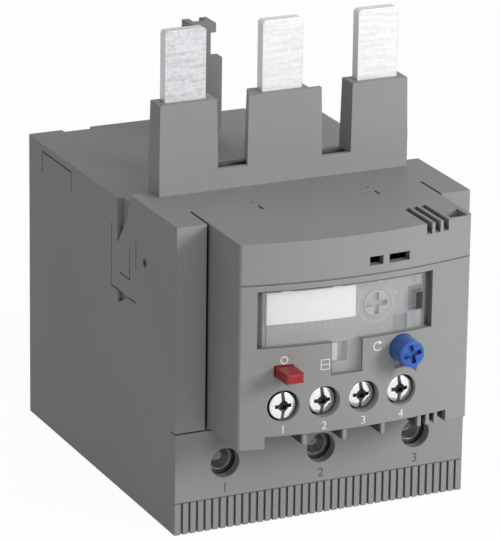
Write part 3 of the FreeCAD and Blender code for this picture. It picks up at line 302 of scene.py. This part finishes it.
tin_bright, tin_dull, tin_edge = linear(236, 236, 238), linear(222, 222, 225), linear(214, 214, 217)
tin_first_light, tin_first_dark = linear(222, 222, 225), linear(196, 196, 200)
blade_low, blade_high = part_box("line_blade_2")
blade_half_width = (blade_high[0] - blade_low[0]) / 2
pole_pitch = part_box("line_blade_3")[0][0] - blade_low[0]
tin, tin_shader, tin_place = start_finish("tin_plate")
tin_rolling = tin_place.noise(1100.0, 3.0, (0.10, 1.0, 1.2))
tin_clouds = tin_place.noise(1100.0, 3.0, (0.9, 1.0, 1.0))
tin_scratches = tin_place.noise(1100.0, 2.0, (2.4, 1.0, 0.2)).window(0.60, 0.72)
tin_mark = tin_rolling * 0.55 + tin_clouds * 0.45 - tin_scratches * 0.06
blade_across = tin_place.axis(0).node("ShaderNodeMath", {"operation": "PINGPONG"},
                                      {0: tin_place.axis(0), 1: pole_pitch / 2})
sheared_side = blade_across.window(blade_half_width - 0.00018, blade_half_width - 0.00004)
# The first blade is given darker tones than the other two.
first_blade = 1.0 - tin_place.axis(0).window(-0.014, -0.010)
tin_face = tin_mark.window(0.36, 0.62).mix(first_blade.mix(tin_dull, tin_first_dark),
                                           first_blade.mix(tin_bright, tin_first_light))
set_shader(tin_shader, {
    "Base Color": sheared_side.mix(tin_face, tin_edge),
    "Metallic": 0.35,
    "Roughness": tin_mark * 0.25 + 0.26,
    "Normal": tin_mark.node("ShaderNodeBump", {}, {
        "Strength": 0.1, "Distance": 0.00003, "Height": tin_mark,
        "Normal": soft_edges(tin_place, 0.0003)}),
})
for number in (1, 2, 3):
    dress(f"line_blade_{number}", tin)
    dress(f"load_busbar_{number}", tin)

# ---- Box terminals -----------------------------------------------------------------------
# Each cable is gripped in a welded steel cage that a socket screw pulls forward. Both are zinc
# plated steel, with the soft grey sparkle of passivated zinc.

zinc, zinc_shader, zinc_place = start_finish("zinc_plate")
zinc_spangle = zinc_place.noise(1500.0, 2.0)
set_shader(zinc_shader, {
    "Base Color": zinc_spangle.window(0.35, 0.65).mix(linear(150, 150, 152), linear(190, 190, 190)),
    "Metallic": 1.0,
    "Roughness": zinc_spangle * 0.2 + 0.3,
})
screw_steel, steel_shader, steel_place = start_finish("dark_screw_steel")
steel_haze = steel_place.noise(1800.0, 2.0)
set_shader(steel_shader, {
    "Base Color": steel_haze.window(0.3, 0.7).mix(linear(126, 126, 129), linear(150, 150, 153)),
    "Metallic": 0.85,
    "Roughness": steel_haze * 0.12 + 0.40,
})


def turned(name, centre, rings, form, columns):
    """A surface turned about Y. Ring i has the radius and the place along Y of rings[i], and form
    changes both grids with the angle a. The point is centre + (r cos a, y, r sin a), and one
    more point on the axis closes each end."""
    angle = np.arange(columns) * 2 * math.pi / columns
    radius, along = form(np.repeat(rings[:, :1], columns, 1), np.repeat(rings[:, 1:], columns, 1),
                         angle)
    grid = np.stack([centre[0] + radius * np.cos(angle), centre[1] + along,
                     centre[2] + radius * np.sin(angle)], axis=-1)
    points = np.concatenate([grid.reshape(-1, 3), grid[0].mean(0)[None], grid[-1].mean(0)[None]])
    here = np.arange(columns)
    after = (here + 1) % columns
    rows = np.arange(len(rings) - 1)[:, None] * columns
    quads = np.stack([rows + here, rows + columns + here, rows + columns + after, rows + after],
                     axis=-1).reshape(-1, 4)
    last, front = (len(rings) - 1) * columns, len(rings) * columns
    front_fan = np.stack([here, after, np.full(columns, front)], axis=-1)
    back_fan = np.stack([last + after, last + here, np.full(columns, front + 1)], axis=-1)
    return surface(name, points, quads, front_fan, back_fan)


def screw_thread(radius, along, angle, pitch, depth):
    """Radius less the depth of a V thread: a triangle wave of y / pitch less a / 2 pi."""
    turn = (along / pitch - angle / (2 * math.pi)) % 1.0
    return radius - depth * np.abs(2 * turn - 1)


def socket_screw(number):
    """Headless clamp screw: a domed face with a worn hexagon socket, a V thread and a coned tip.
    The socket sinks smoothly with the distance across its flats, joined by a fifth power."""
    low, high = (np.array(corner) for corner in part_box(f"terminal_screw_{number}"))
    radius, length = (high[0] - low[0]) / 2, high[1] - low[1]
    pitch, thread_depth, dome, proud = 0.00125, 0.00035, 0.0006, 0.0003
    socket_rim, socket_floor, socket_depth = 0.0028, 0.0009, 0.0024
    face_radii = np.linspace(0.00006, radius - thread_depth, 48)
    face = np.stack([face_radii, dome * (face_radii / radius) ** 2 - proud], axis=1)
    body_along = np.arange(dome - proud + 0.0001, length - 0.0008, pitch / 8)
    body = np.stack([np.full_like(body_along, radius), body_along], axis=1)
    tip = np.array([[radius - thread_depth, length - 0.0006], [radius * 0.7, length],
                    [0.0003, length]])

    def form(r, y, a):
        flats = [np.abs(r * np.cos(a - math.radians(turn))) for turn in (30, 90, 150)]
        across = np.sum(np.array(flats) ** 5, axis=0) ** 0.2
        share = np.clip((socket_rim - across) / (socket_rim - socket_floor), 0.0, 1.0)
        floor = socket_depth * share ** 2 * (3 - 2 * share) - proud
        on_body = (np.arange(len(r)) >= len(face)) & (np.arange(len(r)) < len(r) - len(tip))
        cut = np.where(on_body[:, None], screw_thread(r, y, a, pitch, thread_depth), r)
        in_face = (np.arange(len(r)) < len(face))[:, None]
        return cut, np.where(in_face, np.maximum(y, floor), y)

    centre = ((low[0] + high[0]) / 2, low[1], (low[2] + high[2]) / 2)
    return turned(f"socket_screw_{number}", centre, np.concatenate([face, body, tip]), form, 120)


for number in (1, 2, 3):
    dress(f"clamp_cage_{number}", zinc)
    dress(f"terminal_screw_{number}", screw_steel)
    screw = socket_screw(number)
    screw.data.materials.append(screw_steel)
    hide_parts(f"terminal_screw_{number}")
    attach(screw, f"terminal_screw_{number}")

# ---- Auxiliary terminals -----------------------------------------------------------------
# Four brass terminals with square pressure plates and combination-head screws, which take a
# flat or a cross driver. Screws and plates are nickel plated and bright.

aux_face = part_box("aux_screw_1")[0][1]
nickel, nickel_shader, nickel_place = start_finish("nickel_with_painted_shade")
nickel_haze = nickel_place.noise(2400.0, 2.0)
# Painted shade: the nickel turns near black behind the heads' faces, in recesses, sides and plates.
nickel_painted_shade = nickel_place.axis(1).window(aux_face + 0.00045, aux_face + 0.0011)
nickel_bright = nickel_haze.window(0.3, 0.7).mix(linear(232, 232, 234), linear(244, 244, 246))
set_shader(nickel_shader, {
    "Base Color": nickel_painted_shade.mix(nickel_bright, linear(58, 58, 60)),
    "Metallic": 0.9,
    "Roughness": nickel_haze * 0.06 + 0.10,
})
brass, brass_shader, brass_place = start_finish("contact_brass")
brass_haze = brass_place.noise(900.0, 3.0)
set_shader(brass_shader, {
    "Base Color": brass_haze.window(0.3, 0.7).mix(linear(176, 140, 84), linear(208, 174, 112)),
    "Metallic": 1.0,
    "Roughness": brass_haze * 0.2 + 0.25,
})


def soft_step(distance, width):
    """0 outside an edge and 1 inside it, with a slope of that width between them."""
    return np.clip(distance / width + 0.5, 0.0, 1.0)


def combination_screw(number):
    """Pan head screw: a domed face with a slot across it, a cross and a well, then a V thread.
    The face lies at the dome's height or the recess's floor, whichever is further back."""
    low, high = (np.array(corner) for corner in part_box(f"aux_screw_{number}"))
    radius, length = (high[0] - low[0]) / 2, high[1] - low[1]
    shank, pitch, thread_depth = 0.00175, 0.0006, 0.00016
    dome, corner, head_back = 0.0005, 0.00045, 0.0037
    face_radii = np.linspace(0.00004, radius - corner, 54)
    face = np.stack([face_radii, dome * (face_radii / (radius - corner)) ** 2], axis=1)
    bend = np.linspace(0.0, math.pi / 2, 8)[1:]
    rim = np.stack([radius - corner + corner * np.sin(bend), dome + corner * (1 - np.cos(bend))],
                   axis=1)
    side = np.stack([np.full(12, radius), np.linspace(dome + corner + 0.00005, head_back, 12)],
                    axis=1)
    neck = np.array([[radius - 0.0002, head_back], [shank, head_back]])
    shank_along = np.arange(head_back + 0.0001, length - 0.0005, pitch / 8)
    body = np.stack([np.full_like(shank_along, shank), shank_along], axis=1)
    tip = np.array([[shank - thread_depth, length - 0.0004], [shank * 0.6, length],
                    [0.0002, length]])
    head_rings = len(face) + len(rim) + len(side)

    def form(r, y, a):
        across, up = np.abs(r * np.cos(a)), np.abs(r * np.sin(a))
        slot = 0.0010 * soft_step(0.00042 - across, 0.00012)
        cross = 0.0014 * soft_step(0.00042 - up, 0.00012) * soft_step(0.0019 - across, 0.0002)
        well = 0.0017 * soft_step(0.00105 - r, 0.0004)
        floor = np.max([slot, cross, well], axis=0)
        row = np.arange(len(r))[:, None]
        threaded = (row >= head_rings + len(neck)) & (row < len(r) - len(tip))
        return (np.where(threaded, screw_thread(r, y, a, pitch, thread_depth), r),
                np.where(row < head_rings, np.maximum(y, floor), y))

    centre = ((low[0] + high[0]) / 2, low[1], (low[2] + high[2]) / 2)
    return turned(f"combination_screw_{number}", centre,
                  np.concatenate([face, rim, side, neck, body, tip]), form, 144)


for number in (1, 2, 3, 4):
    dress(f"aux_terminal_{number}", brass)
    dress(f"clamp_washer_{number}", nickel)
    dress(f"aux_screw_{number}", nickel)
    screw = combination_screw(number)
    screw.data.materials.append(nickel)
    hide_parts(f"aux_screw_{number}")
    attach(screw, f"aux_screw_{number}")
dress("nc_contact_bridge", brass)
dress("no_contact_bridge", brass)

# ---- Clear cover and label ---------------------------------------------------------------
# A hinged polycarbonate cover closes the setting window. Its catch is painted dark as the shade
# of the recess behind it, and its edges and hinge strip are painted shade too. Behind the cover a
# plain white film label lies on the recess floor.

catch_left, catch_right, catch_low, catch_top = 0.0128, 0.0151, 0.0511, 0.0555
catch_fade, hinge_right = 0.0003, -0.0226
clear_tint = (0.80, 0.81, 0.84, 1.0)
clear, clear_shader, clear_place = start_finish("clear_polycarbonate")
clear_haze = clear_place.noise(90.0, 2.0)
clear_x, clear_z = clear_place.axis(0), clear_place.axis(2)
# Painted shade: the catch is dark grey and mostly opaque, for the dark recess seen through it.
catch_across = clear_x.window(catch_left, catch_left + catch_fade) * (
    1.0 - clear_x.window(catch_right - catch_fade, catch_right))
catch_up = clear_z.window(catch_low, catch_low + catch_fade) * (
    1.0 - clear_z.window(catch_top - catch_fade, catch_top))
catch_painted_shade = catch_across * catch_up
# Painted shade: the edges seen side on and the strip by the hinge are dark grey and less clear.
clear_facing = clear_place.node("ShaderNodeTexCoord", {}, {}, 1).axis(1)
clear_edge = 1.0 - ((clear_facing * clear_facing) ** 0.5).window(0.3, 0.6)
clear_hinge = 1.0 - clear_x.window(hinge_right, hinge_right + 0.0005)
clear_rim_shade = clear_edge.maths("MAXIMUM", clear_edge, clear_hinge)
clear_tone = clear_rim_shade.mix(clear_tint, linear(84, 84, 86))
set_shader(clear_shader, {
    "Base Color": catch_painted_shade.mix(clear_tone, linear(52, 52, 54)),
    "Roughness": clear_haze * 0.06 + 0.04,
    "IOR": 1.45,
    "Alpha": clear_haze * 0.04 + catch_painted_shade * 0.6 + clear_rim_shade * 0.55 + 0.13,
})
dress("clear_cover", clear)
white_film, film_shader, film_place = start_finish("white_film")
film_mottle = film_place.noise(700.0, 2.0)
set_shader(film_shader, {
    "Base Color": film_mottle.window(0.3, 0.7).mix(linear(243, 243, 243), linear(248, 248, 248)),
    "Roughness": 0.4,
})
dress("marking_label", white_film)

# ---- Buttons, slider and dial ------------------------------------------------------------
# The red and blue buttons are glossy acetal. Slider, dial and plunger are of the housing's grey
# or a darker one, moulded without grain.

acetal_gap, acetal_round = 0.0020, 0.00022
painted_gap_shade = (0.22, 0.22, 0.24, 1.0)


def acetal(name, low, high, roughness):
    """Smooth moulded plastic between two near colours, darkened in gaps as painted shade."""
    made, shader, place = start_finish(name)
    cloud = place.noise(300.0, 2.0)
    tone = cloud.window(0.3, 0.7).mix(low, high)
    shade = place.node("ShaderNodeMix", {"data_type": "RGBA", "blend_type": "MULTIPLY"},
                       {0: 1.0, 6: tone, 7: painted_gap_shade}, 2)
    set_shader(shader, {
        "Base Color": crevice(place, acetal_gap).window(0.10, 0.60).mix(shade, tone),
        "Roughness": cloud * 0.08 + roughness,
        "Normal": place.node("ShaderNodeBump", {}, {
            "Strength": 0.05, "Distance": 0.00002, "Height": cloud,
            "Normal": soft_edges(place, acetal_round)}),
    })
    return made


red_acetal = acetal("red_acetal", linear(146, 16, 21), linear(156, 24, 28), 0.24)
blue_acetal = acetal("blue_acetal", linear(34, 84, 166), linear(42, 94, 178), 0.24)
dial_acetal = acetal("dial_acetal", linear(154, 156, 156), linear(162, 164, 164), 0.34)
slider_acetal = acetal("slider_acetal", linear(196, 196, 192), linear(206, 206, 202), 0.34)
dark_acetal = acetal("dark_acetal", linear(40, 40, 42), linear(52, 52, 54), 0.34)
dress("stop_button", red_acetal)
dress("reset_knob", blue_acetal)
dress("current_dial", dial_acetal)
dress("test_slider", slider_acetal)
dress("reset_plunger", dark_acetal)

# ---- Mechanism ---------------------------------------------------------------------------
# Inside, the trip train is moulded in cream plastic on a dark plate. The heated bimetal strips
# are rolled strip, in woven glass sleeves, with flat resistance strip wound round them.

cream = acetal("cream_moulding", linear(206, 198, 176), linear(220, 212, 192), 0.4)
for name in ("main_slide", "differential_slide", "differential_lever", "trip_crank",
             "contact_carrier", "setting_slide", "button_guide"):
    dress(name, cream)
dress("mechanism_plate", dark_acetal)
dress("crank_pin", zinc)

strip_metal, strip_shader, strip_place = start_finish("rolled_strip")
strip_lines = strip_place.noise(1200.0, 2.0, (1.0, 1.0, 0.1))
set_shader(strip_shader, {
    "Base Color": strip_lines.window(0.35, 0.65).mix(linear(140, 130, 118), linear(178, 168, 154)),
    "Metallic": 1.0,
    "Roughness": strip_lines * 0.25 + 0.3,
})
sleeve_glass, sleeve_shader, sleeve_place = start_finish("woven_sleeve")
sleeve_weave = sleeve_place.noise(3000.0, 1.0, (1.0, 1.0, 2.0))
set_shader(sleeve_shader, {
    "Base Color": sleeve_weave.window(0.35, 0.65).mix(linear(196, 186, 160), linear(228, 220, 200)),
    "Roughness": 0.8,
})
for number in (1, 2, 3):
    dress(f"bimetal_strip_{number}", strip_metal)
    dress(f"heater_winding_{number}", strip_metal)
    dress(f"insulating_sleeve_{number}", sleeve_glass)
dress("compensation_strip", strip_metal)

# ---- Button springs ----------------------------------------------------------------------
# Two compression springs push the stop button and the reset plunger out again. They are coiled
# from round stainless wire, with the end turns closed up.


def compression_spring(name, node, turns, wire):
    """Round wire carried along a helix about Y. At share s the helix has turned by 2 pi turns s
    and stands at s less 0.75 sin(2 pi s) / 2 pi of its length, which closes the end turns."""
    low, high = (np.array(corner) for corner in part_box(node))
    rings, sides = 40 * turns, 14
    share = np.linspace(0.0, 1.0, rings + 1)[:, None]
    around = (np.arange(sides) * 2 * math.pi / sides)[None, :]
    turn = 2 * math.pi * turns * share
    radius = (high[0] - low[0]) / 2 - wire + wire * np.cos(around)
    climb = share - 0.75 * np.sin(2 * math.pi * share) / (2 * math.pi)
    length = high[1] - low[1] - 2 * wire
    points = np.stack([(low[0] + high[0]) / 2 + radius * np.cos(turn),
                       low[1] + wire + length * climb + wire * np.sin(around),
                       (low[2] + high[2]) / 2 + radius * np.sin(turn)], axis=-1)
    here = np.arange(sides)
    after = (here + 1) % sides
    rows = np.arange(rings)[:, None] * sides
    quads = np.stack([rows + here, rows + after, rows + sides + after, rows + sides + here],
                     axis=-1).reshape(-1, 4)
    ends = np.stack([here[::-1], rings * sides + here])
    spring = surface(name, points.reshape(-1, 3), quads, ends)
    spring.data.materials.append(spring_wire)
    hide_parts(node)
    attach(spring, "housing")


spring_wire, wire_shader, wire_place = start_finish("spring_wire")
wire_drawing = wire_place.noise(2600.0, 2.0)
set_shader(wire_shader, {
    "Base Color": wire_drawing.window(0.3, 0.7).mix(linear(168, 168, 170), linear(206, 206, 208)),
    "Metallic": 1.0,
    "Roughness": wire_drawing * 0.15 + 0.18,
})
for node in ("stop_spring", "reset_spring"):
    dress(node, spring_wire)
    compression_spring(f"round_{node}", node, 5, 0.00025)

# ---- Printed marks -----------------------------------------------------------------------
# White ink is pad printed on the curved front: terminal numbers, a ring over the stop button, an
# arrow by the reset knob and a frame by the test window. The dial's scale is printed on the recess
# floor. The clamp numbers on the terminal cover are painted shade standing for engraved figures.

ink_lift = 0.00002
unit_half_width, unit_bulge, unit_reach, recess_depth = 0.0274, 0.0034, 0.0154, 0.0024
unit_radius = (unit_half_width ** 2 + unit_bulge ** 2) / (2 * unit_bulge)


def unit_front(x, inset):
    """Y of the circle of the unit's front at x, for the surface that lies inset behind it."""
    return front_plane + unit_radius - unit_reach - unit_bulge - np.sqrt(
        (unit_radius - inset) ** 2 - x ** 2)


def figure(words, size, x, z):
    """Points and faces of plain figures of a height, with their middle at x and z."""
    letters = bpy.data.curves.new("figure", "FONT")
    letters.body, letters.size = words, size
    letters.align_x, letters.align_y = "CENTER", "CENTER"
    holder = bpy.data.objects.new("figure", letters)
    mesh = bpy.data.meshes.new_from_object(holder)
    flat = np.array([tuple(v.co)[:2] for v in mesh.vertices])
    faces = [list(face.vertices) for face in mesh.polygons]
    bpy.data.objects.remove(holder)
    bpy.data.meshes.remove(mesh)
    return flat + (x, z), faces


def ribbon(path, width):
    """Points and faces of a flat band: a path of x and z, moved half the width to each side."""
    step = np.gradient(path, axis=0)
    step /= np.linalg.norm(step, axis=1)[:, None]
    side = np.stack([-step[:, 1], step[:, 0]], axis=1) * width / 2
    count, here = len(path), np.arange(len(path) - 1)
    quads = np.stack([here, count + here, count + here + 1, here + 1], axis=1)
    return np.concatenate([path + side, path - side]), quads.tolist()


def arc_path(x, z, radius, start, end):
    """Points on a circle from one angle to another, in degrees from the right."""
    turn = np.radians(np.linspace(start, end, 49))
    return np.stack([x + radius * np.cos(turn), z + radius * np.sin(turn)], axis=1)


def marks(name, shapes, depth_at, finish):
    """One thin layer of ink from flat shapes, laid on the surface whose Y is depth_at(x)."""
    points, faces, count = [], [], 0
    for flat, shape_faces in shapes:
        points.append(flat)
        faces += [[count + corner for corner in face] for face in shape_faces]
        count += len(flat)
    flat = np.concatenate(points)
    placed = np.stack([flat[:, 0], depth_at(flat[:, 0]) - ink_lift, flat[:, 1]], axis=1)
    mesh = bpy.data.meshes.new(name)
    mesh.from_pydata(placed.tolist(), [], faces)
    layer = bpy.data.objects.new(name, mesh)
    scene.collection.objects.link(layer)
    layer.data.materials.append(finish)
    thick = layer.modifiers.new("ink", "SOLIDIFY")
    thick.thickness = ink_lift
    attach(layer, "housing")


def ink(name, colour):
    """Matt ink with a slightly uneven coat."""
    made, shader, place = start_finish(name)
    coat = place.noise(1500.0, 2.0)
    set_shader(shader, {"Base Color": coat.window(0.2, 0.8).mix(
        tuple(0.85 * part for part in colour[:3]) + (1.0,), colour), "Roughness": 0.6})
    return made


white_ink = ink("white_ink", linear(226, 226, 226))
pale_ink = ink("pale_ink", linear(190, 191, 193))
shadow_ink = ink("shadow_line", linear(78, 78, 77))


def row_across(node, count):
    """The middle of each of a row of numbered pieces, across the relay."""
    corners = [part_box(f"{node}_{number + 1}") for number in range(count)]
    return [(low[0] + high[0]) / 2 for low, high in corners]


aux_number_size, aux_number_up = 0.0026, 0.0282
mark_line, frame_line = 0.00028, 0.00018
ring_x, ring_z, ring_radius = -0.0176, 0.0440, 0.00075
arrow_x, arrow_z, arrow_radius = 0.0038, 0.0446, 0.00095
arrow_head = np.array([[0.0040, 0.0459], [0.0040, 0.0449], [0.0050, 0.0453]])
frame_left, frame_right, frame_low, frame_top, frame_middle = (
    -0.0094, -0.0075, 0.0410, 0.0432, 0.0421)
printed = [figure(str(n + 1), aux_number_size, x, aux_number_up)
           for n, x in enumerate(row_across("aux_screw", 4))]
printed.append(ribbon(arc_path(ring_x, ring_z, ring_radius, 0, 360), mark_line))
printed.append(ribbon(arc_path(arrow_x, arrow_z, arrow_radius, 60, 330), mark_line))
printed.append((arrow_head, [[0, 1, 2]]))
printed += [ribbon(np.linspace((frame_left, z), (frame_right, z), 4), frame_line)
            for z in (frame_low, frame_top)]
printed += [ribbon(np.linspace((x, frame_low), (x, frame_top), 4), frame_line)
            for x in (frame_left, frame_right)]
printed.append(ribbon(np.linspace((frame_left, frame_middle), (frame_right, frame_middle), 4),
                      frame_line))
marks("printed_marks", printed, lambda x: unit_front(x, 0.0), white_ink)

# The clamp numbers are a dark layer of painted shade, for figures that are engraved.
clamp_number_size, clamp_number_up = 0.0030, 0.0094
clamp_numbers = [figure(str(n + 1), clamp_number_size, x, clamp_number_up)
                 for n, x in enumerate(row_across("terminal_screw", 3))]
marks("clamp_numbers", clamp_numbers, lambda x: np.full_like(x, front_plane), shadow_ink)

# Painted shade: a grey layer on the floor of the small square recess.
stop_floor_left, stop_floor_right, stop_floor_up = 0.0087, 0.0121, 0.0485
stop_floor_height, stop_floor_inset = 0.0032, 0.0007
stop_floor_path = np.linspace((stop_floor_left, stop_floor_up), (stop_floor_right, stop_floor_up),
                              8)
marks("cover_recess_painted_shade", [ribbon(stop_floor_path, stop_floor_height)],
      lambda x: unit_front(x, recess_depth + stop_floor_inset),
      ink("stop_floor", linear(112, 112, 114)))

dial_low, dial_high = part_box("current_dial")
dial_x, dial_z = (dial_low[0] + dial_high[0]) / 2, 0.0535
scale_line, scale_radius, scale_number_radius, scale_number_size = (
    0.00014, 0.0042, 0.00495, 0.0011)
scale = [ribbon(arc_path(dial_x, dial_z, scale_radius, start, end), scale_line)
         for start, end in ((-135, 50), (130, 225))]
for n in range(8):
    turn = math.radians(230 - 30 * n)
    scale.append(figure(str(n + 1), scale_number_size,
                        dial_x + scale_number_radius * math.cos(turn),
                        dial_z + scale_number_radius * math.sin(turn)))
tick_low, tick_top, tick_left, tick_right = 0.0497, 0.0507, -0.0165, -0.0045
scale += [ribbon(np.linspace((x, tick_low), (x, tick_top), 4), scale_line)
          for x in np.linspace(tick_left, tick_right, 9)]
marks("dial_scale", scale, lambda x: unit_front(x, recess_depth), pale_ink)
